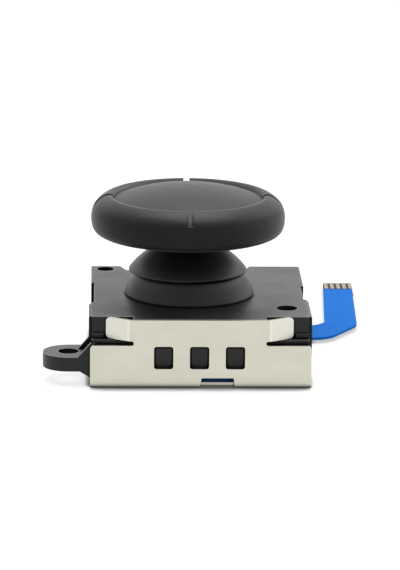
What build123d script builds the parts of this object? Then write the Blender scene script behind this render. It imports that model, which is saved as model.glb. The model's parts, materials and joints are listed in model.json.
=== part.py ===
from build123d import *
import os
from math import asin, cos, degrees, radians, sin, sqrt

# Two-axis analogue thumb stick module with a click, as used in a hand-held game controller.
# Millimetres. The origin is where the stick's axis meets the underside. X runs to the right,
# Y to the back and Z up.

# Metal shell
shell_width = 16.47
shell_depth = 17.4
shell_gauge = 0.25
fold_radius = 0.3
axis_offset = 0.82
front_shift = -0.07
body_height = 5.15
side_wall_height = 3.2
slot_height = 0.34
slot_half_span = 5.09
tab_bend_half_span = 5.18
tab_length = 2.04
tab_angle = 31
tab_corner = 0.33
window_width = 1.44
window_height = 1.72
window_pitch = 2.67
window_low = 1.41
window_count = 3
window_corner = 0.2
window_shift = -0.1
notch_width = 2.42
notch_flare = 0.08
notch_height = 0.72
notch_depth = 0.6
notch_shift = 1.26
notch_corner = 0.1
back_wall_height = 3.9
back_wall_play = 0.12

# Plastic cover
cover_play = 0.05
cover_floor_play = 0.02
cover_top_thickness = 0.6
cover_wall = 0.85
side_inset = 0.04
corner_inset = 0.12
side_pad_thickness = 0.15
side_pad_setback = 0.3
left_pad_length = 3.95
right_pad_length = 5.0
side_pad_drop = 0.1
side_pad_height = 2.9
side_pad_slope = 0.1
left_notch_length = 6.35
right_notch_length = 4.4
side_notch_depth = 0.22
side_notch_height = 1.55
corner_setback = 1.3
ledge_drop = 1.3
ledge_height = 0.36
ledge_step = 0.2
ledge_low_step = 0.5
tongue_half_span = 4.97
back_recess_depth = 1.3
back_recess_half_span = 5.05
back_recess_taper = 0.45
front_hole_radius = 0.8
back_hole_radius = 0.68
locating_hole_depth = 2.0
locating_boss_wall = 0.5
front_hole_inset_x = 1.685
front_hole_inset_y = 3.9
back_hole_inset_x = 1.15
back_hole_inset_y = 1.02
latch_play = 0.13
latch_setback = 0.06
latch_face_share = 0.53
edge_break = 0.06

# Screw ears
ear_radius = 1.92
ear_hole_radius = 0.785
ear_reach = 1.635
ear_inset = 2.4
ear_low = 1.08
ear_thickness = 1.08
gusset_depth = 2.9
gusset_rise = 1.1
gusset_front_rib = 0.35
gusset_back_rib = 0.3
gusset_run = 0.95
under_gusset_drop = 0.5
under_gusset_run = 0.8

# Ball geometry of the stick
pivot_height = 3.8
tilt_limit = 13
click_travel = 0.15
collar_radius = 5.13
collar_thickness = 0.5
collar_ring_radius = 4.95
collar_ring_height = 0.15
collar_shift = 0.13
collar_mouth_margin = 2.5
skirt_play = 0.09
skirt_thickness = 0.2
skirt_lip_height = 6.95
skirt_lip_round = 0.1

# Stick
stem_radius = 0.95
stem_low = 0.9
leg_radius = 0.55
foot_reach = 2.3
neck_radius = 1.9
spigot_radius = 1.2
spigot_length = 2.2

# Thumb cap
cap_underside = 9.45
cap_radius = 7.385
cap_equator_rise = 1.71
rim_rise = 1.66
rim_crest_radius = 6.1
rim_inner_radius = 5.8
rim_inner_drop = 0.03
cap_flat_radius = 3.0
cap_flat_rise = 0.08
cap_underside_rise = 0.42
cap_belly = 0.05
cap_belly_reach = 0.795
rim_fullness = 0.05
rim_shoulder = 0.755
valley_radius = 5.66
valley_drop = 0.32
dome_rise = 1.05
cap_fit = 0.02
groove_width = 0.48
groove_depth = 0.38
groove_rise = 0.73
groove_count = 4

# Flexible circuit
flex_thickness = 0.2
flex_play = 0.15
arm_near = 4.4
arm_far = 8.4
tongue_setback = 0.3
tail_left = 11.15
tail_right = 13.7
tail_end_left = 11.85
tail_end_right = 14.2
tail_end = 22.4
tail_corner_cut = 4.2
tail_inner_round = 0.8
tail_outer_round = 2.2
tail_slit_play = 0.12
stiffener_length = 3.0
stiffener_thickness = 0.15
stiffener_margin = 0.02
contact_count = 5
contact_pitch = 0.5
contact_width = 0.3
contact_length = 2.0
contact_thickness = 0.04
track_thickness = 0.03
track_width = 0.6
track_length = 3.4

# Gimbal
block_half_x = 1.5
block_half_y = 1.45
block_half_height = 0.7
pin_radius = 0.5
ring_inner_x = 1.75
ring_inner_y = 1.55
ring_outer_x = 2.4
ring_outer_y = 2.35
ring_half_height = 0.6
trunnion_radius = 0.6
running_play = 0.04
post_wall_gap = 0.25
post_thickness = 0.7
post_width = 2.4
post_top_gap = 0.15
lever_length = 2.0
lever_thickness = 0.5
lever_tip_radius = 0.35
lever_gap = 0.6
arch_half_width = 1.0
arch_top = 1.5
arch_thickness = 0.4
arch_cheek_gap = 0.6
arch_cheek_thickness = 0.5

# Sliders and wipers
slider_width = 1.5
slider_length = 3.2
slider_low = 0.81
slider_high = 2.25
slider_slot_depth = 0.95
slider_edge = 0.2
slider_wall_gap = 0.25
wiper_gauge = 0.08
wiper_width = 1.1
wiper_base = 1.0
wiper_finger_run = 0.9
wiper_finger_bend = 0.7
wiper_slit = 0.3
wiper_tip_gap = 0.02

# Click switch and return spring
frame_floor = 0.3
frame_play = 0.1
dome_radius = 1.9
dome_height = 0.35
dome_gauge = 0.12
film_radius = 2.6
film_thickness = 0.05
film_gap = 0.01
plate_radius = 3.3
plate_thickness = 0.25
plate_pin_radius = 0.6
seat_gap = 0.03
spring_radius = 3.0
spring_wire = 0.2
spring_turns = 2
spring_seat_drop = 0.2

# Overlaps of joined forms, overcuts and the slack of the selectors
overlap = 0.1
overcut = 1
slack = 0.01

# Places that follow from the sizes above
left = axis_offset - shell_width / 2
right = axis_offset + shell_width / 2
front = -shell_depth / 2
back = shell_depth / 2
back_wall_outer = back - back_recess_depth + back_wall_play + shell_gauge
plate_top = shell_gauge
flex_top = plate_top + flex_thickness
cover_low = plate_top + cover_floor_play
cover_front = front + shell_gauge + cover_play
cover_left = left + side_inset
cover_right = right - side_inset
corner_face = front + corner_setback
cover_ceiling = body_height - cover_top_thickness
cavity_left = cover_left + cover_wall
cavity_right = cover_right - cover_wall
cavity_front = corner_face + cover_wall
cavity_back = back - back_recess_depth - cover_wall
cavity_width = cavity_right - cavity_left
cavity_depth = cavity_back - cavity_front
cavity_centre = ((cavity_left + cavity_right) / 2, (cavity_front + cavity_back) / 2)
pivot = (0, 0, pivot_height)
front_middle = axis_offset + front_shift
window_middle = axis_offset + window_shift
notch_centre = axis_offset + notch_shift
window_centre = window_low + window_height / 2
collar_inner = collar_radius - collar_thickness
skirt_inner = collar_radius + click_travel + skirt_play
skirt_outer = skirt_inner + skirt_thickness
corner_tilt = degrees(sqrt(2) * radians(tilt_limit))
mouth_angle = corner_tilt + degrees(asin(stem_radius / collar_inner)) + collar_mouth_margin
mouth_run = collar_radius * sin(radians(mouth_angle))
mouth_level = pivot_height + collar_radius * cos(radians(mouth_angle))
frame_top = flex_top + frame_floor
plate_high = pivot_height - foot_reach - seat_gap
plate_low = plate_high - plate_thickness
film_top = flex_top + dome_height + film_gap + film_thickness
left_ear = (left - ear_reach, front + ear_inset)
front_hole = (right - front_hole_inset_x, front + front_hole_inset_y)
back_hole = (left + back_hole_inset_x, back - back_hole_inset_y)
back_ear = (right - ear_inset, back + ear_reach)
left_post = cavity_left + post_wall_gap
front_post = cavity_front + post_wall_gap
right_lever = cavity_right - slider_wall_gap - slider_width / 2 - lever_thickness / 2
back_lever = cavity_back - slider_wall_gap - slider_width / 2 - lever_thickness / 2
right_post = right_lever - lever_gap - post_thickness
back_post = back_lever - lever_gap - post_thickness
cheek_outer = back_post - arch_cheek_gap
cheek_inner = cheek_outer - arch_cheek_thickness
cap_equator = cap_underside + cap_equator_rise
cap_crest = cap_equator + rim_rise
cap_valley = cap_crest - valley_drop
cap_top = cap_valley + dome_rise
groove_end = cap_equator + groove_rise


def block(x_from, x_to, y_from, y_to, z_from, z_to, mode=Mode.ADD):
    """A plain block between two corners."""
    size = (x_to - x_from, y_to - y_from, z_to - z_from)
    with Locations(((x_from + x_to) / 2, (y_from + y_to) / 2, (z_from + z_to) / 2)):
        Box(*size, mode=mode)


def disc(x, y, z_from, z_to, radius, mode=Mode.ADD):
    """A plain upright cylinder."""
    with Locations((x, y, (z_from + z_to) / 2)):
        Cylinder(radius, z_to - z_from, mode=mode)


def rod_x(x_from, x_to, z, radius, mode=Mode.ADD):
    """A cylinder that lies along X over the stick's axis."""
    with Locations(((x_from + x_to) / 2, 0, z)):
        Cylinder(radius, x_to - x_from, rotation=(0, 90, 0), mode=mode)


def rod_y(y_from, y_to, z, radius, mode=Mode.ADD):
    """A cylinder that lies along Y over the stick's axis."""
    with Locations((0, (y_from + y_to) / 2, z)):
        Cylinder(radius, y_to - y_from, rotation=(90, 0, 0), mode=mode)


def finish(part, name):
    """Name a finished piece and write it out."""
    part.label = name
    export_step(part, f"parts/{name}.step")


os.makedirs("parts", exist_ok=True)

# Metal shell: a folded plate with a front and a back wall
with BuildPart() as metal_shell:
    # The fold line of both walls, seen from the side
    with BuildSketch(Plane.YZ.offset(left)):
        with BuildLine():
            half = shell_gauge / 2
            FilletPolyline(
                (front + half, side_wall_height),
                (front + half, half),
                (back_wall_outer - half, half),
                (back_wall_outer - half, back_wall_height),
                radius=fold_radius - half,
            )
        trace(line_width=shell_gauge)
    extrude(amount=shell_width)
    # The back wall stands only between the plastic corners
    back_wall_half = back_recess_half_span - back_recess_taper - back_wall_play
    for side_from, side_to in ((left, -back_wall_half), (back_wall_half, right)):
        block(side_from, side_to, back_wall_outer - fold_radius, back_wall_outer, 0, back_wall_height,
              Mode.SUBTRACT)
    # Rounded upper corners of the lower front wall
    lower_corners = metal_shell.edges().filter_by(Axis.Y).filter_by_position(
        Axis.Z, side_wall_height - slack, side_wall_height + slack)
    fillet(lower_corners, fold_radius)
    # The front wall's middle, up to the top, with its two tabs bent backwards
    tab_low = side_wall_height + slot_height
    block(front_middle - slot_half_span, front_middle + slot_half_span, front, front + shell_gauge,
          side_wall_height - fold_radius, tab_low + overlap)
    tab_end_x = tab_bend_half_span + tab_length * cos(radians(tab_angle))
    tab_end_y = front + half + tab_length * sin(radians(tab_angle))
    with BuildSketch(Plane.XY.offset(tab_low)):
        with BuildLine():
            FilletPolyline(
                (front_middle - tab_end_x, tab_end_y),
                (front_middle - tab_bend_half_span, front + half),
                (front_middle + tab_bend_half_span, front + half),
                (front_middle + tab_end_x, tab_end_y),
                radius=fold_radius,
            )
        trace(line_width=shell_gauge)
    extrude(amount=body_height - tab_low)
    # Rounded corners at the end of each tab
    for side in (-1, 1):
        end_x = front_middle + side * tab_end_x
        end_edges = metal_shell.edges().filter_by_position(Axis.X, end_x - slack, end_x + slack)
        fillet(end_edges.filter_by(Axis.Z, reverse=True), tab_corner)
    # Round ends of the two slots under the tabs
    for side in (-1, 1):
        slot_x = front_middle + side * slot_half_span
        with Locations((slot_x, front + half, side_wall_height + slot_height / 2)):
            Cylinder(slot_height / 2, 2 * shell_gauge, rotation=(90, 0, 0), mode=Mode.SUBTRACT)
    # Windows for the cover's latches
    with BuildSketch(Plane.XZ.offset(-front - 2 * shell_gauge)):
        with Locations((window_middle, window_centre)):
            with GridLocations(window_pitch, 1, window_count, 1):
                RectangleRounded(window_width, window_height, window_corner)
    extrude(amount=4 * shell_gauge, mode=Mode.SUBTRACT)
    # Notch over the front fold
    with BuildSketch(Plane.XZ.offset(-front - notch_depth)) as notch_outline:
        with BuildLine():
            Polyline(
                (notch_centre - notch_width / 2 - notch_flare, -overlap),
                (notch_centre + notch_width / 2 + notch_flare, -overlap),
                (notch_centre + notch_width / 2, notch_height),
                (notch_centre - notch_width / 2, notch_height),
                close=True,
            )
        make_face()
        fillet(notch_outline.vertices().group_by(Axis.Y)[-1], notch_corner)
    extrude(amount=notch_depth + shell_gauge, mode=Mode.SUBTRACT)
finish(metal_shell.part, "metal_shell")

# Plastic cover with its collar, latches and screw ears
with BuildPart() as top_cover:
    with BuildSketch(Plane.XY.offset(cover_low)):
        with BuildLine():
            recess_face = back - back_recess_depth
            recess_inner = back_recess_half_span - back_recess_taper
            Polyline(
                (cover_left, cover_front),
                (cover_right, cover_front),
                (cover_right, back),
                (back_recess_half_span, back),
                (recess_inner, recess_face),
                (-recess_inner, recess_face),
                (-back_recess_half_span, back),
                (cover_left, back),
                close=True,
            )
        make_face()
    extrude(amount=body_height - cover_low)
    # Stepped corners beside the tongue, where the metal tabs find room
    upper_ledge = body_height - ledge_drop
    ledge_levels = (
        (side_wall_height - cover_play, corner_face - ledge_step - ledge_low_step),
        (upper_ledge - ledge_height, corner_face - ledge_step),
        (upper_ledge, corner_face),
    )
    tongue_left = front_middle - tongue_half_span
    tongue_right = front_middle + tongue_half_span
    for level, face in ledge_levels:
        block(left, tongue_left, front, face, level, body_height + overcut, Mode.SUBTRACT)
        block(tongue_right, right, front, face, level, body_height + overcut, Mode.SUBTRACT)
    # Room behind the ends of the tabs
    tab_reach = tab_end_x + shell_gauge
    for room_from, room_to in ((front_middle - tab_reach, tongue_left),
                               (tongue_right, front_middle + tab_reach)):
        block(room_from, room_to, front, corner_face, upper_ledge - ledge_height, upper_ledge,
              Mode.SUBTRACT)
    # Sides: narrower at the front corners, then a pad with a sloping top, then a notch in the top edge
    pad_top = body_height - side_pad_drop
    pad_front = corner_face + side_pad_setback
    for side, pad_length, notch_length in ((-1, left_pad_length, left_notch_length),
                                           (1, right_pad_length, right_notch_length)):
        shell_side = axis_offset + side * shell_width / 2
        cover_side = shell_side - side * side_inset
        corner_side = shell_side - side * corner_inset
        pad_side = cover_side + side * side_pad_thickness
        block(min(shell_side, corner_side), max(shell_side, corner_side), front, pad_front, 0,
              body_height + overcut, Mode.SUBTRACT)
        with BuildSketch(Plane.XZ.offset(-pad_front)):
            with BuildLine():
                Polyline(
                    (cover_side - side * overlap, pad_top - side_pad_height),
                    (pad_side, pad_top - side_pad_height),
                    (pad_side, pad_top - side_pad_slope),
                    (pad_side - side * side_pad_slope, pad_top),
                    (cover_side - side * overlap, pad_top),
                    close=True,
                )
            make_face()
        extrude(amount=-pad_length)
        block(cover_side - side_notch_depth, cover_side + side_notch_depth, pad_front + pad_length,
              pad_front + pad_length + notch_length, body_height - side_notch_height,
              body_height + overcut, Mode.SUBTRACT)
    # Screw ears with their gussets, one to the left and one to the back
    for ear, wall, turn in ((left_ear, (cover_left, left_ear[1]), 0), (back_ear, (back_ear[0], back), -90)):
        ear_plane = Plane(origin=(ear[0], ear[1], ear_low), x_dir=Vector(1, 0, 0).rotate(Axis.Z, turn))
        run = abs(wall[0] - ear[0]) + abs(wall[1] - ear[1]) + cover_wall / 2
        with BuildSketch(ear_plane):
            Circle(ear_radius)
            with Locations((run / 2, 0)):
                Rectangle(run, 2 * ear_radius)
        extrude(amount=ear_thickness)
        gusset_far = run - cover_wall / 2
        gusset_plane = Plane(
            origin=ear_plane.from_local_coords(Vector(0, -ear_radius, 0)),
            x_dir=ear_plane.x_dir,
            z_dir=-ear_plane.y_dir,
        )
        # Two ribs over the ear and one wedge under it
        for rib_start, rib in ((0, gusset_front_rib), (gusset_depth - gusset_back_rib, gusset_back_rib)):
            with BuildSketch(gusset_plane.offset(-rib_start)):
                with BuildLine():
                    Polyline(
                        (gusset_far - gusset_run, ear_thickness),
                        (gusset_far + cover_wall / 2, ear_thickness),
                        (gusset_far + cover_wall / 2, ear_thickness + gusset_rise),
                        (gusset_far, ear_thickness + gusset_rise),
                        close=True,
                    )
                make_face()
            extrude(amount=-rib)
        with BuildSketch(gusset_plane):
            with BuildLine():
                Polyline(
                    (gusset_far - under_gusset_run, 0),
                    (gusset_far + cover_wall / 2, 0),
                    (gusset_far + cover_wall / 2, -under_gusset_drop),
                    (gusset_far, -under_gusset_drop),
                    close=True,
                )
            make_face()
        extrude(amount=-gusset_depth)
        disc(*ear, ear_low - overcut, ear_low + ear_thickness + overcut, ear_hole_radius, Mode.SUBTRACT)
    # Collar: a low ring with a ball-shaped dome over the pivot
    disc(collar_shift, 0, cover_ceiling, body_height + collar_ring_height, collar_ring_radius)
    with BuildSketch(Plane.XZ, mode=Mode.PRIVATE) as collar_section:
        with BuildLine():
            base_run = sqrt(collar_radius ** 2 - (body_height - pivot_height) ** 2)
            dome_line = RadiusArc((base_run, body_height), (mouth_run, mouth_level), -collar_radius)
            Polyline(dome_line @ 1, (0, mouth_level), (0, body_height), dome_line @ 0)
        make_face()
    with Locations((collar_shift, 0, 0)):
        add(Solid.revolve(collar_section.sketch.face(), 360, Axis.Z))
    # Hollow inside: the dome's inner ball, its mouth and the cavity for the mechanism
    with Locations((collar_shift, 0, pivot_height)):
        Sphere(collar_inner, mode=Mode.SUBTRACT)
    disc(collar_shift, 0, pivot_height, pivot_height + 2 * collar_radius, mouth_run, Mode.SUBTRACT)
    block(cavity_left, cavity_right, cavity_front, cavity_back, 0, cover_ceiling, Mode.SUBTRACT)
    # Way out for the circuit's tail, and room for its tongue over the notch
    block(cavity_right - flex_play, right + overcut, arm_near - flex_play, arm_far + flex_play, 0,
          flex_top + tail_slit_play, Mode.SUBTRACT)
    block(notch_centre - notch_width / 2 - flex_play, notch_centre + notch_width / 2 + flex_play,
          front, cavity_front + overlap, 0, notch_height, Mode.SUBTRACT)
    # Blind locating holes in the top, the front one in a boss under the ceiling
    hole_floor = body_height - locating_hole_depth
    disc(*front_hole, hole_floor - locating_boss_wall, cover_ceiling + overlap,
         front_hole_radius + locating_boss_wall)
    for hole, hole_radius in ((front_hole, front_hole_radius), (back_hole, back_hole_radius)):
        disc(*hole, hole_floor, body_height + overcut, hole_radius, Mode.SUBTRACT)
    # Latches that snap into the windows of the metal wall
    with BuildSketch(Plane.YZ):
        latch_low = window_low + latch_play
        latch_high = window_low + window_height - latch_play
        latch_break = latch_high - latch_face_share * (latch_high - latch_low)
        with BuildLine():
            Polyline(
                (cover_front + overlap, latch_low),
                (cover_front, latch_low),
                (front + latch_setback, latch_break),
                (front + latch_setback, latch_high),
                (cover_front + overlap, latch_high),
                close=True,
            )
        make_face()
    latch_width = window_width - 2 * latch_play
    latch = extrude(amount=latch_width / 2, both=True, mode=Mode.PRIVATE)
    for number in range(window_count):
        with Locations((window_middle + (number - (window_count - 1) / 2) * window_pitch, 0, 0)):
            add(latch)
    # Broken outer edges of the top
    top_edges = top_cover.edges().filter_by_position(Axis.Z, body_height - slack, body_height + slack)
    chamfer(top_edges.filter_by(GeomType.LINE), edge_break)
finish(top_cover.part, "top_cover")

# Flexible circuit: the sheet under the mechanism, its tongue over the notch and its tail
with BuildPart() as flex_circuit:
    sheet_right = cavity_right - flex_play
    with BuildSketch(Plane.XY.offset(plate_top)) as flex_outline:
        with Locations(cavity_centre):
            Rectangle(cavity_width - 2 * flex_play, cavity_depth - 2 * flex_play)
        tongue_front = front + notch_depth + tongue_setback
        with Locations((notch_centre, (tongue_front + cavity_centre[1]) / 2)):
            Rectangle(notch_width, cavity_centre[1] - tongue_front)
        with BuildLine():
            Polyline(
                (sheet_right, arm_near),
                (tail_left, arm_near),
                (tail_right, arm_near + tail_corner_cut),
                (tail_end_right, tail_end),
                (tail_end_left, tail_end),
                (tail_left, arm_far + tail_inner_round),
                (tail_left - tail_inner_round, arm_far),
                (sheet_right, arm_far),
                close=True,
            )
        make_face()
        outer_bends = flex_outline.vertices().filter_by_position(
            Axis.X, tail_left - slack, tail_right + slack)
        outer_bends = outer_bends.filter_by_position(Axis.Y, 0, arm_near + tail_corner_cut + slack)
        fillet(outer_bends, tail_outer_round)
        inner_bends = flex_outline.vertices().filter_by_position(Axis.X, right, tail_left + slack)
        inner_bends = inner_bends.filter_by_position(Axis.Y, arm_far - slack, tail_end - slack)
        fillet(inner_bends, tail_inner_round)
    extrude(amount=flex_thickness)
finish(flex_circuit.part, "flex_circuit")

# Stiffener glued under the end of the tail
tail_middle = (tail_end_left + tail_end_right) / 2
with BuildPart() as flex_stiffener:
    end_width = tail_end_right - tail_end_left - 2 * stiffener_margin
    block(tail_middle - end_width / 2, tail_middle + end_width / 2, tail_end - stiffener_length, tail_end,
          plate_top - stiffener_thickness, plate_top)
finish(flex_stiffener.part, "flex_stiffener")

# Contact fingers on the end of the tail
with BuildPart() as flex_contacts:
    with Locations((tail_middle, tail_end - contact_length / 2, flex_top + contact_thickness / 2)):
        with GridLocations(contact_pitch, 1, contact_count, 1):
            Box(contact_width, contact_length, contact_thickness)
finish(flex_contacts.part, "flex_contacts")


x_slider_centre = (0, back_lever + lever_thickness / 2)
y_slider_centre = (right_lever + lever_thickness / 2, 0)
x_slider_place = Location((*x_slider_centre, 0))
y_slider_place = Location((*y_slider_centre, 0), (0, 0, 90))

# Printed carbon tracks under the two sliders, each a U with its arms along the travel
with BuildPart() as track:
    with BuildSketch(Plane.XY.offset(flex_top)):
        Rectangle(track_length, wiper_width)
        with Locations((track_width / 2, 0)):
            Rectangle(track_length - track_width, wiper_slit, mode=Mode.SUBTRACT)
    extrude(amount=track_thickness)
finish(track.part.moved(x_slider_place), "x_track")
finish(track.part.moved(y_slider_place), "y_track")

# Snap dome of the click switch and the film that holds it down
dome_ball = (dome_radius ** 2 + dome_height ** 2) / (2 * dome_height)
dome_top = flex_top + dome_height
dome_inner = dome_radius - dome_gauge
with BuildPart() as click_dome:
    with BuildSketch(Plane.XZ):
        with BuildLine():
            RadiusArc((0, dome_top), (dome_radius, flex_top), dome_ball)
            Line((dome_radius, flex_top), (dome_inner, flex_top))
            RadiusArc((0, dome_top - dome_gauge), (dome_inner, flex_top), dome_ball)
            Line((0, dome_top), (0, dome_top - dome_gauge))
        make_face()
    revolve(axis=Axis.Z)
finish(click_dome.part, "click_dome")

film_inner = dome_radius + film_gap
with BuildPart() as dome_film:
    with BuildSketch(Plane.XZ):
        with BuildLine():
            RadiusArc((0, film_top), (film_inner + film_thickness, flex_top + film_thickness), dome_ball)
            Polyline(
                (film_inner + film_thickness, flex_top + film_thickness),
                (film_radius, flex_top + film_thickness),
                (film_radius, flex_top),
                (film_inner, flex_top),
            )
            RadiusArc((0, film_top - film_thickness), (film_inner, flex_top), dome_ball)
            Line((0, film_top), (0, film_top - film_thickness))
        make_face()
    revolve(axis=Axis.Z)
finish(dome_film.part, "dome_film")

# Inner frame: a floor with bearing posts for both rockers, open over the dome and the tracks
with BuildPart() as inner_frame:
    with BuildSketch(Plane.XY.offset(flex_top)):
        with Locations(cavity_centre):
            Rectangle(cavity_width - 2 * frame_play, cavity_depth - 2 * frame_play)
        Circle(film_radius + frame_play, mode=Mode.SUBTRACT)
        window_length = track_length + 2 * frame_play
        track_window = wiper_width + 2 * slider_edge
        with Locations(x_slider_centre):
            Rectangle(window_length, track_window, mode=Mode.SUBTRACT)
        with Locations(y_slider_centre):
            Rectangle(track_window, window_length, mode=Mode.SUBTRACT)
    extrude(amount=frame_floor)
    # Seat ring for the return spring
    disc(0, 0, frame_top - spring_seat_drop, frame_top, plate_radius + frame_play, Mode.SUBTRACT)
    # Bearing posts, each with a slot that is open at the top
    post_top = cover_ceiling - post_top_gap
    bearing_radius = trunnion_radius + running_play
    for post_from in (left_post, right_post):
        block(post_from, post_from + post_thickness, -post_width / 2, post_width / 2, flex_top, post_top)
    for post_from in (front_post, back_post):
        block(-post_width / 2, post_width / 2, post_from, post_from + post_thickness, flex_top, post_top)
    right_post_end = right_post + post_thickness
    back_post_end = back_post + post_thickness
    rod_x(left_post, right_post_end, pivot_height, bearing_radius, Mode.SUBTRACT)
    rod_y(front_post, back_post_end, pivot_height, bearing_radius, Mode.SUBTRACT)
    block(left_post, right_post_end, -bearing_radius, bearing_radius, pivot_height, cover_ceiling,
          Mode.SUBTRACT)
    block(-bearing_radius, bearing_radius, front_post, back_post_end, pivot_height, cover_ceiling,
          Mode.SUBTRACT)
finish(inner_frame.part, "inner_frame")

# Rocker ring: turns about X and carries the pivot block
with BuildPart() as x_rocker:
    with Locations(pivot):
        Box(2 * ring_outer_x, 2 * ring_outer_y, 2 * ring_half_height)
        Box(2 * ring_inner_x, 2 * ring_inner_y, 4 * ring_half_height, mode=Mode.SUBTRACT)
    fillet(x_rocker.edges().filter_by(Axis.Z).sort_by_distance(pivot)[-4:], ring_half_height)
    rod_y(-2 * ring_outer_y, 2 * ring_outer_y, pivot_height, pin_radius + running_play, Mode.SUBTRACT)
    rod_x(left_post, -ring_outer_x + overlap, pivot_height, trunnion_radius)
    rod_x(ring_outer_x - overlap, right_lever + lever_thickness, pivot_height, trunnion_radius)
    # Lever that pushes the Y slider
    lever_low = pivot_height - lever_length
    block(right_lever, right_lever + lever_thickness, -lever_tip_radius, lever_tip_radius, lever_low,
          pivot_height)
    rod_x(right_lever, right_lever + lever_thickness, lever_low, lever_tip_radius)
finish(x_rocker.part, "x_rocker")

# Pivot block: turns about Y in the ring, and the stick slides through it
with BuildPart() as pivot_block:
    with Locations(pivot):
        Box(2 * block_half_x, 2 * block_half_y, 2 * block_half_height)
    fillet(pivot_block.edges().filter_by(Axis.Z), stem_radius / 2)
    rod_y(-ring_outer_y, ring_outer_y, pivot_height, pin_radius)
    disc(0, 0, 0, body_height, stem_radius + running_play, Mode.SUBTRACT)
finish(pivot_block.part, "pivot_block")

# Rocker arch: turns about Y, slotted along Y for the stick's leg
with BuildPart() as y_rocker:
    arch_level = pivot_height - arch_top
    block(-arch_half_width, arch_half_width, -cheek_outer, cheek_outer, arch_level - arch_thickness,
          pivot_height)
    block(-2 * arch_half_width, 2 * arch_half_width, -cheek_inner, cheek_inner, arch_level,
          body_height, Mode.SUBTRACT)
    for cheek_from in (-cheek_outer, cheek_inner):
        rod_y(cheek_from, cheek_from + arch_cheek_thickness, pivot_height, arch_half_width)
    rod_y(front_post, -cheek_outer + overlap, pivot_height, trunnion_radius)
    rod_y(cheek_outer - overlap, back_lever + lever_thickness, pivot_height, trunnion_radius)
    with BuildSketch(Plane.XY.offset(arch_level - arch_thickness - overlap)):
        slot_run = 2 * cheek_inner - 2 * leg_radius
        SlotOverall(slot_run, 2 * (leg_radius + running_play), rotation=90)
    extrude(amount=arch_thickness + 2 * overlap, mode=Mode.SUBTRACT)
    # Lever that pushes the X slider
    block(-lever_tip_radius, lever_tip_radius, back_lever, back_lever + lever_thickness, lever_low,
          pivot_height)
    rod_y(back_lever, back_lever + lever_thickness, lever_low, lever_tip_radius)
finish(y_rocker.part, "y_rocker")

# Slider: a block with a fork slot for its lever, lying along X
with BuildPart() as slider:
    with BuildSketch(Plane.XZ):
        with BuildLine():
            fork_half = lever_tip_radius + running_play
            Polyline(
                (-slider_length / 2, slider_low),
                (slider_length / 2, slider_low),
                (slider_length / 2, slider_high - slider_slot_depth),
                (slider_length / 3, slider_high),
                (fork_half, slider_high),
                (fork_half, slider_high - slider_slot_depth),
                (-fork_half, slider_high - slider_slot_depth),
                (-fork_half, slider_high),
                (-slider_length / 3, slider_high),
                (-slider_length / 2, slider_high - slider_slot_depth),
                close=True,
            )
        make_face()
    extrude(amount=slider_width / 2, both=True)
finish(slider.part.moved(x_slider_place), "x_slider")
finish(slider.part.moved(y_slider_place), "y_slider")

# Wiper: a thin spring contact under a slider, with two fingers that reach down to the track
with BuildPart() as wiper:
    with BuildSketch(Plane.XZ):
        with BuildLine():
            wiper_level = slider_low - wiper_gauge / 2
            tip_level = flex_top + track_thickness + wiper_tip_gap + wiper_gauge / 2
            Polyline(
                (-wiper_base / 2, wiper_level),
                (wiper_base / 2, wiper_level),
                (wiper_base / 2 + wiper_finger_bend * wiper_finger_run, tip_level),
                (wiper_base / 2 + wiper_finger_run, tip_level + wiper_gauge),
            )
        trace(line_width=wiper_gauge)
    extrude(amount=wiper_width / 2, both=True)
    block(wiper_base / 4, wiper_base + wiper_finger_run, -wiper_slit / 2, wiper_slit / 2, 0, slider_low,
          Mode.SUBTRACT)
finish(wiper.part.moved(x_slider_place), "x_wiper")
finish(wiper.part.moved(y_slider_place), "y_wiper")

# Centring plate: pressed up against the stick's foot, with a pin over the snap dome
with BuildPart() as centring_plate:
    disc(0, 0, plate_low, plate_high, plate_radius)
    disc(0, 0, film_top + seat_gap, plate_low, plate_pin_radius)
finish(centring_plate.part, "centring_plate")

# Return spring between the frame's seat ring and the centring plate
with BuildPart() as return_spring:
    spring_low = frame_top - spring_seat_drop + spring_wire / 2
    spring_height = plate_low - spring_low - spring_wire / 2
    with BuildLine() as coil:
        Helix(spring_height / spring_turns, spring_height, spring_radius, center=(0, 0, spring_low))
    with BuildSketch(Plane(origin=coil.line @ 0, z_dir=coil.line % 0)):
        Circle(spring_wire / 2)
    sweep(is_frenet=True)
finish(return_spring.part, "return_spring")

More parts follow.
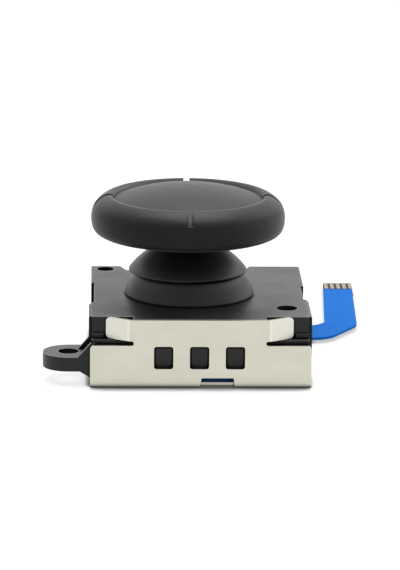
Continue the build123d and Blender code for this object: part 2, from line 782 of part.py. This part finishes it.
# Stick: spigot, neck, ball-shaped dust skirt, stem, leg and rounded foot
with BuildPart() as stick_shaft:
    with BuildSketch(Plane.XZ) as stick_section:
        with BuildLine():
            lip_outer = sqrt(skirt_outer ** 2 - (skirt_lip_height - pivot_height) ** 2)
            lip_inner = sqrt(skirt_inner ** 2 - (skirt_lip_height - pivot_height) ** 2)
            stem_top = pivot_height + sqrt(skirt_inner ** 2 - stem_radius ** 2)
            neck_base = pivot_height + sqrt(skirt_outer ** 2 - neck_radius ** 2)
            stem_foot = pivot_height - stem_low
            leg_foot = pivot_height - sqrt(foot_reach ** 2 - leg_radius ** 2)
            spigot_top = cap_underside + spigot_length
            RadiusArc((0, pivot_height - foot_reach), (leg_radius, leg_foot), -foot_reach)
            Polyline(
                (leg_radius, leg_foot),
                (leg_radius, stem_foot - (stem_radius - leg_radius)),
                (stem_radius, stem_foot),
                (stem_radius, stem_top),
            )
            RadiusArc((stem_radius, stem_top), (lip_inner, skirt_lip_height), skirt_inner)
            Line((lip_inner, skirt_lip_height), (lip_outer, skirt_lip_height))
            RadiusArc((lip_outer, skirt_lip_height), (neck_radius, neck_base), -skirt_outer)
            Polyline(
                (neck_radius, neck_base),
                (neck_radius, cap_underside),
                (spigot_radius, cap_underside),
                (spigot_radius, spigot_top),
                (0, spigot_top),
                (0, pivot_height - foot_reach),
            )
        make_face()
        lip_corners = stick_section.vertices().filter_by_position(
            Axis.Y, skirt_lip_height - slack, skirt_lip_height + slack)
        fillet(lip_corners, skirt_lip_round)
    revolve(axis=Axis.Z)
finish(stick_shaft.part, "stick_shaft")

# Thumb cap: a turned form with a domed middle, a raised rim and grooves across the rim
cap_low = cap_underside + cap_fit
rim_run = cap_radius - rim_crest_radius
rim_points = (
    (rim_crest_radius, cap_crest),
    (rim_crest_radius + rim_fullness * rim_run, cap_crest),
    (cap_radius, cap_equator + rim_shoulder * rim_rise),
    (cap_radius, cap_equator),
)
with BuildPart() as thumb_cap:
    with BuildSketch(Plane.XZ):
        with BuildLine():
            Bezier(*rim_points)
            Bezier(
                (cap_radius, cap_equator),
                (cap_radius, cap_low - (cap_equator - cap_low) * cap_belly),
                (cap_flat_radius + cap_belly_reach * (cap_radius - cap_flat_radius),
                 cap_low + cap_underside_rise),
                (cap_flat_radius, cap_low + cap_flat_rise),
            )
            Polyline(
                (cap_flat_radius, cap_low + cap_flat_rise),
                (neck_radius, cap_low),
                (spigot_radius + cap_fit, cap_low),
                (spigot_radius + cap_fit, spigot_top + cap_fit),
                (0, spigot_top + cap_fit),
                (0, cap_top),
            )
            ThreePointArc(
                (0, cap_top),
                (valley_radius / 2, cap_top - dome_rise / 4),
                (valley_radius, cap_valley),
            )
            Polyline(
                (valley_radius, cap_valley),
                (rim_inner_radius, cap_crest - rim_inner_drop),
                (rim_crest_radius, cap_crest),
            )
        make_face()
    revolve(axis=Axis.Z)
    # Grooves across the rim, whose floor follows the rim's own curve
    floor_points = [(x - groove_depth / 2, z - groove_depth) for x, z in rim_points]
    with BuildPart(mode=Mode.PRIVATE) as groove:
        with BuildSketch(Plane.XZ):
            with BuildLine():
                Bezier(*floor_points)
                Polyline(
                    floor_points[-1],
                    (cap_radius + overcut, cap_equator),
                    (cap_radius + overcut, cap_top),
                    (valley_radius, cap_top),
                    (valley_radius, cap_valley + cap_fit),
                    floor_points[0],
                )
            make_face()
        extrude(amount=groove_width / 2, both=True)
        block(0, cap_radius + overcut, -groove_width, groove_width, 0, groove_end, Mode.SUBTRACT)
    with PolarLocations(0, groove_count):
        add(groove.part, mode=Mode.SUBTRACT)
finish(thumb_cap.part, "thumb_cap")
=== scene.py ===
import json
from math import cos, pi, radians, sin

import bpy
from mathutils import Matrix, Vector


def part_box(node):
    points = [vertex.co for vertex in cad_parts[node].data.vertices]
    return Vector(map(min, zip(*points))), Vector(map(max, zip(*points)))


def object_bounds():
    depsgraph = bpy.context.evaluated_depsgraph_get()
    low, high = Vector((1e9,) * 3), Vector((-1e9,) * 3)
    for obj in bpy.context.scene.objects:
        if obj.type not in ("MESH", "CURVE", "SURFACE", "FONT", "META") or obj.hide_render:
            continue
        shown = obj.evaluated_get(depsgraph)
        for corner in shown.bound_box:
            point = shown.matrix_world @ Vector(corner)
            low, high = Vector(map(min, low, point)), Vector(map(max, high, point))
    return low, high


# Places are in metres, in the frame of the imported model. Looks, and what carries MM, are in millimetres.
MM = 0.001

# Most of a noise texture lies between these two values
NOISE_LOW = 0.3
NOISE_HIGH = 0.7

# Facets that meet at less than the first angle look smooth. Edges above the second one are rounded.
SMOOTH_ANGLE = radians(30)
ROUNDED_ANGLE = radians(40)

# How far those edges are rounded, in millimetres
edge_softening = {"top_cover": 0.1, "metal_shell": 0.03, "inner_frame": 0.03, "thumb_cap": 0.03}

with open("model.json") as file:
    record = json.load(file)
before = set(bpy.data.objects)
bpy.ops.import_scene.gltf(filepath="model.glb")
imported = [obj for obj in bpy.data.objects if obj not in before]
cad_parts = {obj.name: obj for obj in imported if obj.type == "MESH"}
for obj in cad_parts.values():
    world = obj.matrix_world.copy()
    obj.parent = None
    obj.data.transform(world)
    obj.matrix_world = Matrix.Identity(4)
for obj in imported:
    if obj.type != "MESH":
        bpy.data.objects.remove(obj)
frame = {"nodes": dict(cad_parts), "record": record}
cad_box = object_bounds()
cad_nodes = frame["nodes"]

# The two sides of the metal case, in millimetres
case_left, case_right = (corner.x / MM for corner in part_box("metal_shell"))


# Node trees

class Nodes:
    """Short calls for the nodes of one tree."""

    def __init__(self, tree):
        self.tree = tree

    def add(self, kind):
        return self.tree.nodes.new(kind)

    def link(self, output, socket):
        self.tree.links.new(output, socket)

    def math(self, operation, a, b=0.0):
        node = self.add("ShaderNodeMath")
        node.operation = operation
        for socket, value in zip(node.inputs, (a, b)):
            if isinstance(value, (int, float)):
                socket.default_value = value
            else:
                self.link(value, socket)
        return node.outputs[0]

    def plus(self, a, b):
        return self.math("ADD", a, b)

    def times(self, a, b):
        return self.math("MULTIPLY", a, b)

    def larger(self, a, b):
        return self.math("MAXIMUM", a, b)

    def one_minus(self, value):
        return self.math("SUBTRACT", 1.0, value)

    def distance(self, a, b):
        """How far apart two numbers are."""
        return self.math("ABSOLUTE", self.math("SUBTRACT", a, b))

    def ramp(self, value, low, high, low_out=0.0, high_out=1.0):
        """Maps a value's range to another, smoothly at both ends."""
        node = self.add("ShaderNodeMapRange")
        node.interpolation_type = "SMOOTHSTEP"
        ends = {"From Min": low, "From Max": high, "To Min": low_out, "To Max": high_out}
        for name, number in ends.items():
            node.inputs[name].default_value = number
        self.link(value, node.inputs["Value"])
        return node.outputs["Result"]

    def past(self, value, edge, blur):
        """0 before an edge and 1 past it, with a change that is blur wide on both sides."""
        return self.ramp(value, edge - blur, edge + blur)

    def before(self, value, edge, blur):
        """1 before an edge and 0 past it, with a change that is blur wide on both sides."""
        return self.ramp(value, edge + blur, edge - blur)

    def split(self, vector):
        """The X, Y and Z of a vector."""
        node = self.add("ShaderNodeSeparateXYZ")
        self.link(vector, node.inputs[0])
        return node.outputs

    def towards(self, vector, direction):
        """How far a vector points in a direction, from -1 to 1."""
        node = self.add("ShaderNodeVectorMath")
        node.operation = "DOT_PRODUCT"
        self.link(vector, node.inputs[0])
        node.inputs[1].default_value = direction
        return node.outputs["Value"]

    def openness(self, reach, closed=0.4, open_air=0.9, inside=False):
        """1 in the open and 0 in a crevice whose sides stand closer than reach, in millimetres.

        Measured inside the solid, it is 1 on a broad face and falls towards a convex edge.
        """
        node = self.add("ShaderNodeAmbientOcclusion")
        node.samples = 8
        node.inside = inside
        node.only_local = inside
        node.inputs["Distance"].default_value = reach * MM
        return self.ramp(node.outputs["AO"], closed, open_air)

    def seen(self):
        """1 for the rays of the camera, of mirrors and of glass."""
        rays = self.add("ShaderNodeLightPath").outputs
        direct = self.larger(rays["Is Camera Ray"], rays["Is Glossy Ray"])
        return self.larger(direct, rays["Is Transmission Ray"])


class Paint(Nodes):
    """A material with one Principled shader."""

    def __init__(self, name, colour, roughness, metallic=0.0, specular=0.5):
        self.material = bpy.data.materials.new(name)
        self.material.use_nodes = True
        super().__init__(self.material.node_tree)
        self.shader = self.tree.nodes["Principled BSDF"]
        self.set("Base Color", (*colour, 1.0))
        self.set("Roughness", roughness)
        self.set("Metallic", metallic)
        self.set("Specular IOR Level", specular)
        # Object coordinates, scaled so that 1 is a millimetre
        coordinates = self.add("ShaderNodeTexCoord")
        scale = self.add("ShaderNodeVectorMath")
        scale.operation = "SCALE"
        scale.inputs["Scale"].default_value = 1 / MM
        self.link(coordinates.outputs["Object"], scale.inputs[0])
        self.place = scale.outputs["Vector"]
        self.x, self.y, self.z = self.split(self.place)
        self.facing_up = self.split(coordinates.outputs["Normal"])[2]

    def set(self, socket, value):
        self.shader.inputs[socket].default_value = value

    def feed(self, socket, output):
        self.link(output, self.shader.inputs[socket])

    def noise(self, size, detail=3.0, stretch=(1, 1, 1)):
        """Noise with features of that size in millimetres, drawn out along each axis by stretch."""
        mapping = self.add("ShaderNodeMapping")
        mapping.inputs["Scale"].default_value = [1 / (size * s) for s in stretch]
        self.link(self.place, mapping.inputs["Vector"])
        node = self.add("ShaderNodeTexNoise")
        node.inputs["Scale"].default_value = 1.0
        node.inputs["Detail"].default_value = detail
        self.link(mapping.outputs["Vector"], node.inputs["Vector"])
        return node.outputs["Fac"]

    def blend(self, factor, first, second):
        """A mix of two colours, each a tuple or an output."""
        node = self.add("ShaderNodeMix")
        node.data_type = "RGBA"
        self.link(factor, node.inputs["Factor"])
        # Inputs 6 and 7 of the node are its two colours, and output 2 is the mixed one
        for socket, colour in ((node.inputs[6], first), (node.inputs[7], second)):
            if isinstance(colour, tuple):
                socket.default_value = (*colour, 1.0)
            else:
                self.link(colour, socket)
        return node.outputs[2]

    def vary(self, noise, lowest, highest):
        """A value that follows a noise between two limits."""
        return self.ramp(noise, NOISE_LOW, NOISE_HIGH, lowest, highest)

    def by_slope(self, steep_out, level_out, steep=0.4, level=1.0):
        """A value for steep faces and one for level faces that look upwards."""
        return self.ramp(self.facing_up, steep, level, steep_out, level_out)

    def bump(self, height, depth):
        """Gives the surface relief of that depth in millimetres."""
        node = self.add("ShaderNodeBump")
        node.inputs["Strength"].default_value = 1.0
        node.inputs["Distance"].default_value = depth * MM
        self.link(height, node.inputs["Height"])
        self.feed("Normal", node.outputs["Normal"])

    def follow(self, noise, colours, roughness, depth):
        """Lets the colour, the roughness and the relief follow one noise."""
        self.feed("Base Color", self.blend(noise, *colours))
        self.feed("Roughness", self.vary(noise, *roughness))
        self.bump(noise, depth)


# Looks, one for each material of the record

def cap_rubber():
    """Soft matt rubber with a fine moulded grain, a little glossier on top where it is handled."""
    paint = Paint("cap_rubber_look", (0.013, 0.013, 0.0133), 0.44)
    paint.set("Sheen Weight", 0.18)
    paint.set("Sheen Roughness", 0.35)
    grain = paint.noise(0.09)
    cloud = paint.noise(2.4, detail=2.0)
    # Painted shade: where walls stand close, the base colour is painted near black and the gloss is taken
    # away
    open_to_light = paint.openness(0.22)
    handled = paint.by_slope(0.15, 0.48)
    polished = paint.by_slope(1.0, 0.52)
    # Inside the rim's crest the thumb has polished every slope
    rim_crest = 6.05
    from_axis = paint.math("SQRT", paint.plus(paint.times(paint.x, paint.x), paint.times(paint.y, paint.y)))
    in_rim = paint.before(from_axis, rim_crest, 0.05)
    gloss = paint.plus(paint.times(polished, in_rim), paint.times(handled, paint.one_minus(in_rim)))
    clouded = paint.blend(paint.ramp(cloud, 0.35, 0.65), (0.0122, 0.0123, 0.0126), (0.0147, 0.0149, 0.0152))
    paint.feed("Base Color", paint.blend(open_to_light, (0.002, 0.002, 0.002), clouded))
    paint.feed("Specular IOR Level", paint.times(open_to_light, gloss))
    paint.feed("Roughness", paint.vary(grain, 0.4, 0.48))
    paint.bump(grain, 0.003)
    return paint.material


def black_plastic():
    """Moulded black plastic with a fine spark texture, glossier on top, and faint flow lines."""
    paint = Paint("black_plastic_look", (0.006, 0.0063, 0.0066), 0.4)
    grain = paint.noise(0.12)
    flow = paint.noise(3.0, detail=2.0, stretch=(1.3, 1, 1))
    # Painted shade: where walls stand close, the base colour is painted black and the gloss is taken away
    open_to_light = paint.openness(0.36)
    gloss = paint.by_slope(0.35, 1.2, level=0.95)
    marked = paint.blend(paint.ramp(flow, 0.4, 0.65), (0.005, 0.0053, 0.0055), (0.008, 0.0083, 0.0086))
    # Convex edges that look upwards are painted lighter, a painted highlight
    broad_face = paint.openness(0.12, closed=0.6, open_air=0.95, inside=True)
    edge = paint.times(paint.one_minus(broad_face), paint.by_slope(0.0, 1.0, steep=0.05, level=0.5))
    edge_highlighted = paint.blend(edge, marked, (0.28, 0.285, 0.29))
    paint.feed("Base Color", paint.blend(open_to_light, (0.001, 0.001, 0.001), edge_highlighted))
    paint.feed("Specular IOR Level", paint.times(open_to_light, gloss))
    flow_roughness = paint.ramp(flow, 0.4, 0.6, high_out=0.05)
    paint.feed("Roughness", paint.plus(paint.vary(grain, 0.36, 0.41), flow_roughness))
    paint.bump(grain, 0.0012)
    return paint.material


def inner_plastic():
    """Natural bearing plastic, off-white."""
    paint = Paint("inner_plastic_look", (0.72, 0.71, 0.67), 0.42)
    grain = paint.noise(0.15)
    cloud = paint.noise(1.6)
    paint.feed("Base Color", paint.blend(cloud, (0.68, 0.67, 0.62), (0.76, 0.75, 0.71)))
    paint.feed("Roughness", paint.vary(grain, 0.36, 0.5))
    paint.bump(grain, 0.003)
    return paint.material


def shell_metal():
    """Nickel-plated spring steel with a fine satin grain along X and faint stains, with painted highlights
    on its tabs and bends and painted shade in its crevices.
    """
    paint = Paint("shell_metal_look", (0.62, 0.6, 0.5), 0.32, metallic=1.0)
    lines = paint.noise(0.03, detail=4.0, stretch=(12, 1, 1))
    broad = paint.noise(0.5, detail=3.0, stretch=(5, 1, 2))
    stain = paint.noise(1.9, detail=4.0)
    satin = paint.blend(paint.ramp(broad, 0.35, 0.65), (0.6, 0.585, 0.49), (0.625, 0.61, 0.515))
    stained = paint.blend(paint.ramp(stain, 0.62, 0.8, high_out=0.35), satin, (0.55, 0.51, 0.42))
    # The two bent tabs, which start this far from the middle between them and this high
    tab_start = 5.3
    tab_low = 3.3
    tabs_middle = (case_left + case_right) / 2 - 0.1
    from_middle = paint.distance(paint.x, tabs_middle)
    high_enough = paint.past(paint.z, tab_low, 0.05)
    on_tab = paint.times(high_enough, paint.past(from_middle, tab_start, 0.1))
    # Painted reflection: the faces of the tabs are painted lighter
    tabs_painted_lighter = paint.blend(on_tab, stained, (0.67, 0.66, 0.575))
    # Each tab's bend is painted lighter along a line, a painted highlight
    half_line = 0.08
    from_bend = paint.distance(from_middle, tab_start)
    on_bend = paint.times(high_enough, paint.before(from_bend, half_line, 0.06))
    bent = paint.blend(on_bend, tabs_painted_lighter, (0.74, 0.73, 0.66))
    # Painted shade: crevices, and the foot of the fold where it meets the floor, are painted dark
    paint.feed("Base Color", paint.blend(paint.openness(0.16), (0.04, 0.04, 0.035), bent))
    paint.feed("Roughness", paint.vary(lines, 0.3, 0.38))
    paint.bump(lines, 0.0008)
    return paint.material


def gold_contact():
    """Gold over nickel, with the fine drawn grain of a stamped contact."""
    paint = Paint("gold_contact_look", (0.42, 0.37, 0.28), 0.3, metallic=1.0)
    lines = paint.noise(0.03, stretch=(1, 30, 1))
    paint.follow(lines, ((0.39, 0.34, 0.25), (0.46, 0.41, 0.32)), (0.22, 0.4), 0.001)
    return paint.material


def spring_steel():
    """Bright drawn spring steel."""
    paint = Paint("spring_steel_look", (0.7, 0.7, 0.69), 0.25, metallic=1.0)
    lines = paint.noise(0.08, stretch=(5, 5, 1))
    paint.follow(lines, ((0.64, 0.64, 0.63), (0.76, 0.76, 0.75)), (0.2, 0.36), 0.001)
    return paint.material


def carbon_print():
    """Screen-printed carbon ink."""
    paint = Paint("carbon_print_look", (0.02, 0.02, 0.021), 0.6)
    grain = paint.noise(0.06)
    paint.follow(grain, ((0.015, 0.015, 0.016), (0.03, 0.03, 0.031)), (0.5, 0.7), 0.003)
    return paint.material


def blue_flex():
    """Blue cover film over copper lines, left off at the contacts at the tail's end."""
    paint = Paint("blue_flex_look", (0.02, 0.22, 0.8), 0.5, specular=0.03)
    cloud = paint.noise(3.0)
    grain = paint.noise(0.1)
    film = paint.blend(cloud, (0.005, 0.175, 0.68), (0.008, 0.2, 0.75))
    # The lines run along Y, half a millimetre apart
    line_pitch = 0.5
    wave = paint.math("SINE", paint.times(paint.x, 2 * pi / line_pitch))
    line = paint.ramp(wave, 0.1, 0.5, high_out=0.3)
    lined = paint.blend(line, film, (0.012, 0.21, 0.74))
    # The bare amber film between the contacts
    contacts_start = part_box("flex_contacts")[0].y / MM
    bare = paint.past(paint.y, contacts_start, 0.05)
    shown = paint.blend(bare, lined, (0.09, 0.07, 0.055))
    # Painted shade: darker where crevices close in on it in the case, as far as half a millimetre past its
    # right side
    outside = paint.ramp(paint.x, case_right, case_right + 0.5)
    lit = paint.larger(paint.openness(0.8), outside)
    paint.feed("Base Color", paint.blend(lit, (0.03, 0.1, 0.34), shown))
    paint.feed("Roughness", paint.vary(grain, 0.44, 0.56))
    paint.bump(wave, 0.002)
    return paint.material


def stiffener_board():
    """Amber laminate under the end of the tail."""
    paint = Paint("stiffener_look", (0.3, 0.17, 0.07), 0.4)
    weave = paint.noise(0.2, stretch=(3, 1, 1))
    paint.follow(weave, ((0.26, 0.14, 0.05), (0.34, 0.2, 0.09)), (0.34, 0.48), 0.002)
    return paint.material


def clear_film():
    """Amber film over the snap dome, milky and partly clear."""
    paint = Paint("clear_film_look", (0.8, 0.62, 0.3), 0.3)
    paint.set("Transmission Weight", 0.35)
    cloud = paint.noise(0.6)
    paint.follow(cloud, ((0.76, 0.56, 0.24), (0.84, 0.68, 0.36)), (0.24, 0.36), 0.002)
    return paint.material


looks = {
    "cap_rubber": cap_rubber(),
    "black_plastic": black_plastic(),
    "shell_metal": shell_metal(),
    "inner_plastic": inner_plastic(),
    "contact_metal": gold_contact(),
    "carbon_print": carbon_print(),
    "blue_flex": blue_flex(),
    "stiffener": stiffener_board(),
    "spring_steel": spring_steel(),
    "clear_film": clear_film(),
}


# The CAD nodes, shown as they are

def dress(name, slot):
    """Gives a CAD node its look, smooth curved faces and slightly rounded edges."""
    node = cad_nodes[name]
    node.data.materials.clear()
    node.data.materials.append(looks[slot])
    node.data.shade_smooth()
    node.data.set_sharp_from_angle(angle=SMOOTH_ANGLE)
    if name in edge_softening:
        bevel = node.modifiers.new("soft_edges", "BEVEL")
        bevel.width = edge_softening[name] * MM
        bevel.segments = 2
        bevel.limit_method = "ANGLE"
        bevel.angle_limit = ROUNDED_ANGLE
        flat = node.modifiers.new("flat_faces", "WEIGHTED_NORMAL")
        flat.weight = 100
        flat.keep_sharp = True


for row in frame["record"]["subparts"]:
    dress(row["node"], row["material_slot"])


# Floor, world, lamps and camera

def backdrop_material():
    """White satin board that keeps a soft shadow and mirrors dimly, with a painted contact shadow, darkest
    where something stands.
    """
    paint = Paint("board_look", (0.4, 0.4, 0.4), 0.4)
    fibre = paint.noise(1.5)
    white = paint.blend(fibre, (0.39, 0.39, 0.39), (0.41, 0.41, 0.41))
    # The painted contact shadow is wide in front of the case and behind it, and narrow at its sides. It
    # fades along the tail.
    inset = 0.075
    blur = 0.225
    left_of_case = paint.before(paint.x, case_left + inset, blur)
    right_of_case = paint.past(paint.x, case_right - inset, blur)
    beside = paint.larger(left_of_case, right_of_case)
    by_tail = paint.ramp(paint.x, case_right + 0.3, case_right + 1.3, high_out=0.7)
    wide = paint.larger(paint.openness(2.0, closed=0.5, open_air=1.0), beside)
    narrow = paint.larger(paint.openness(0.8), by_tail)
    open_to_light = paint.times(wide, narrow)
    paint.feed("Base Color", paint.blend(open_to_light, (0.06, 0.06, 0.06), white))
    paint.set("Emission Color", (1.0, 1.0, 1.0, 1.0))
    # Mirrors show the painted shadow weaker
    mirrored_least = 0.65
    camera_ray = paint.add("ShaderNodeLightPath").outputs["Is Camera Ray"]
    least = paint.times(paint.one_minus(camera_ray), mirrored_least)
    shade = paint.ramp(paint.larger(open_to_light, least), 0.0, 1.0, low_out=0.03, high_out=0.68)
    paint.feed("Emission Strength", paint.times(shade, paint.seen()))
    return paint.material


def make_floor():
    """A wide white board under the stick module, at the height of its lowest point."""
    reach = 3.0
    mesh = bpy.data.meshes.new("white_floor")
    corners = [(-reach, -reach, 0.0), (reach, -reach, 0.0), (reach, reach, 0.0), (-reach, reach, 0.0)]
    mesh.from_pydata(corners, [], [(0, 1, 2, 3)])
    floor = bpy.data.objects.new("white_floor", mesh)
    floor.location.z = cad_box[0].z
    bpy.context.scene.collection.objects.link(floor)
    mesh.materials.append(backdrop_material())


def make_world():
    """A white studio that lights less than it shows. In mirrors its front is darker above the floor."""
    world = bpy.data.worlds.new("studio")
    bpy.context.scene.world = world
    world.use_nodes = True
    studio = Nodes(world.node_tree)
    background = studio.tree.nodes["Background"]
    background.inputs["Color"].default_value = (1.0, 1.0, 1.0, 1.0)
    direction = studio.add("ShaderNodeTexCoord").outputs["Generated"]
    front = studio.ramp(studio.towards(direction, (-0.2, -0.98, 0.0)), 0.5, 0.95)
    above = studio.ramp(studio.towards(direction, (0.0, 0.0, 1.0)), 0.05, 0.35)
    mirrored = studio.add("ShaderNodeLightPath").outputs["Is Glossy Ray"]
    dark_front = studio.times(studio.times(front, above), mirrored)
    front_loss = 0.35
    unseen_strength = 0.45
    strength = studio.ramp(studio.seen(), 0.0, 1.0, low_out=unseen_strength, high_out=1.0)
    dimming = studio.one_minus(studio.times(dark_front, front_loss))
    studio.link(studio.times(strength, dimming), background.inputs["Strength"])


def make_lamp(name, place, size, power):
    """A soft box that points at the stick."""
    data = bpy.data.lights.new(name, "AREA")
    data.shape = "RECTANGLE"
    data.size, data.size_y = size
    data.energy = power
    lamp = bpy.data.objects.new(name, data)
    lamp.location = place
    target = Vector((0.0, 0.0, 0.006))
    lamp.rotation_euler = (Vector(place) - target).to_track_quat("Z", "Y").to_euler()
    bpy.context.scene.collection.objects.link(lamp)


def make_camera():
    """The photograph's viewpoint: slightly above the top plate, with a long lens."""
    distance = 266.72 * MM
    pitch = radians(13.728)
    yaw = radians(1.705)
    roll = radians(0.569)
    aim = Vector((0.956, 0.0, 5.742)) * MM
    forward = Vector((sin(yaw) * cos(pitch), cos(yaw) * cos(pitch), -sin(pitch)))
    level_right = Vector((cos(yaw), -sin(yaw), 0.0))
    level_up = level_right.cross(forward)
    right = cos(roll) * level_right + sin(roll) * level_up
    up = -sin(roll) * level_right + cos(roll) * level_up
    data = bpy.data.cameras.new("camera")
    data.lens = 220.14
    data.sensor_width = 36.0
    data.clip_start = 0.01
    data.clip_end = 20.0
    camera = bpy.data.objects.new("camera", data)
    turn = Matrix((right, up, -forward)).transposed()
    camera.matrix_world = Matrix.Translation(aim - distance * forward) @ turn.to_4x4()
    bpy.context.scene.collection.objects.link(camera)
    bpy.context.scene.camera = camera


make_floor()
make_world()
make_lamp("top_softbox", place=(0.03, 0.02, 0.38), size=(0.36, 0.3), power=0.9)
make_lamp("right_softbox", place=(0.36, 0.1, 0.16), size=(0.4, 0.34), power=0.35)
make_camera()
bpy.context.scene.view_settings.view_transform = "Standard"
